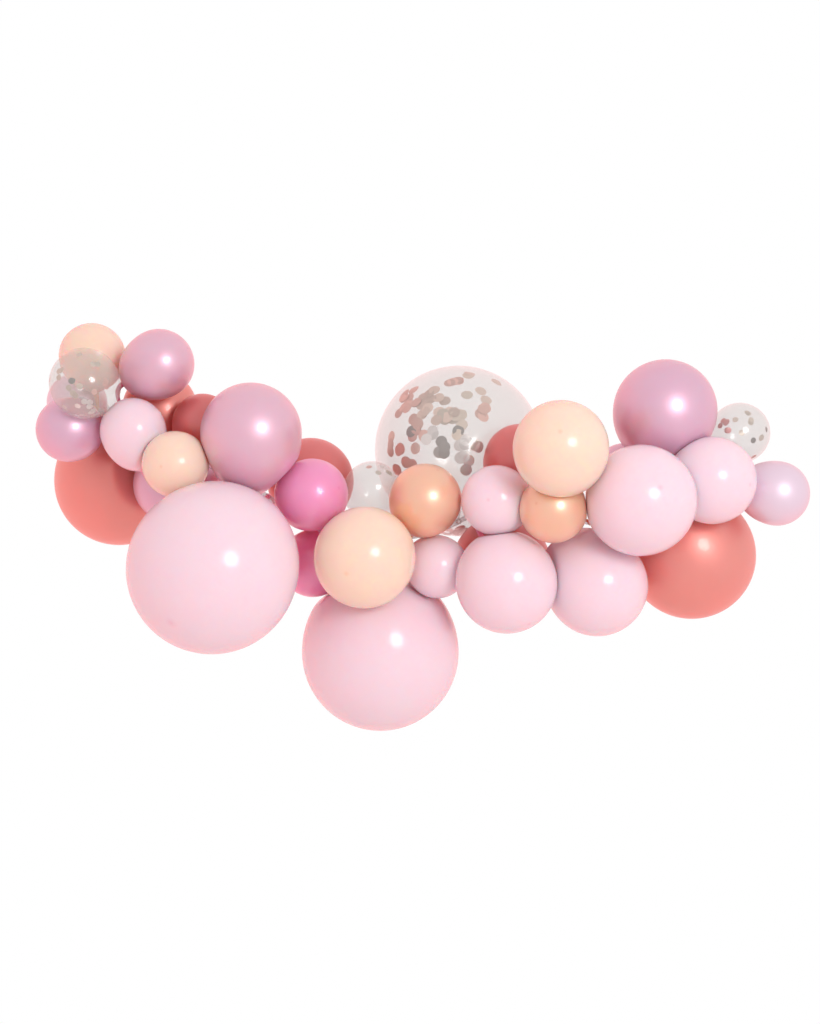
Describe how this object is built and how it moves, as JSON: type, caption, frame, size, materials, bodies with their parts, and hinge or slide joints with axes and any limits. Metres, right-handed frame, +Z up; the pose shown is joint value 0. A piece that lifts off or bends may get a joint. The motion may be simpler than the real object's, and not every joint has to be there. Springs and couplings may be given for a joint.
{
  "type": "balloon garland",
  "caption": "Swag of round latex balloons in pinks, peach, rose gold and clear confetti, tied by their necks to a clear holed strip with a flat fixing tab at each end.",
  "frame": {"origin": "middle of the back face of the strip's left end tab", "axes": "+X along the garland to the right as seen from the front, +Y back through the strip to what it is fixed to, +Z up"},
  "size_m": [1.925, 0.8815, 1.0224],
  "materials": {
    "pastel_pink_latex": "matte pastel pink latex, softly see-through to its own light",
    "peach_latex": "matte pastel peach latex",
    "pearl_pink_latex": "pearl pink latex, soft sheen",
    "mauve_pearl_latex": "mauve pearl latex, soft sheen",
    "rose_gold_latex": "rose gold metallic latex, satin",
    "dusty_rose_latex": "dusty rose pearl latex",
    "magenta_pearl_latex": "magenta pearl latex",
    "peach_pearl_latex": "peach pearl latex, soft sheen",
    "lilac_latex": "pale lilac pearl latex",
    "clear_latex": "clear latex, glossy",
    "clear_plastic": "clear flexible plastic strip"
  },
  "bodies": {
    "root": {"decorating_strip": "clear_plastic", "balloon_peach_top_left": "peach_latex", "balloon_clear_confetti_left": "clear_latex", "balloon_pearl_pink_top_left": "pearl_pink_latex", "balloon_mauve_pearl_far_left": "mauve_pearl_latex", "balloon_pink_small_left": "pastel_pink_latex", "balloon_rose_gold_large_left": "rose_gold_latex", "balloon_mauve_pearl_left_back": "mauve_pearl_latex", "balloon_peach_small_left": "peach_latex", "balloon_pink_largest_left": "pastel_pink_latex", "balloon_rose_gold_left_back": "rose_gold_latex", "balloon_dusty_rose_left": "dusty_rose_latex", "balloon_pearl_pink_centre_left": "pearl_pink_latex", "balloon_dusty_rose_centre_left_back": "dusty_rose_latex", "balloon_magenta_pearl_centre_left": "magenta_pearl_latex", "balloon_magenta_pearl_low_centre_left": "magenta_pearl_latex", "balloon_peach_low_centre": "peach_latex", "balloon_pink_large_bottom": "pastel_pink_latex", "balloon_clear_confetti_small_centre": "clear_latex", "balloon_peach_pearl_centre": "peach_pearl_latex", "balloon_pink_small_centre": "pastel_pink_latex", "balloon_peach_pearl_centre_right": "peach_pearl_latex", "balloon_peach_centre_right": "peach_latex", "balloon_clear_confetti_largest": "clear_latex", "balloon_dusty_rose_low_back": "dusty_rose_latex", "balloon_pink_small_low_centre": "pastel_pink_latex", "balloon_pink_low_centre_right": "pastel_pink_latex", "balloon_pink_low_right": "pastel_pink_latex", "balloon_pink_right": "pastel_pink_latex", "balloon_pink_far_right": "pastel_pink_latex", "balloon_mauve_pearl_top_right": "mauve_pearl_latex", "balloon_clear_confetti_right": "clear_latex", "balloon_lilac_far_right": "lilac_latex", "balloon_rose_gold_large_right": "rose_gold_latex", "balloon_mauve_pearl_right_back": "mauve_pearl_latex", "balloon_dusty_rose_centre_back": "dusty_rose_latex", "balloon_lilac_far_left_back": "lilac_latex"}
  },
  "joints": []
}
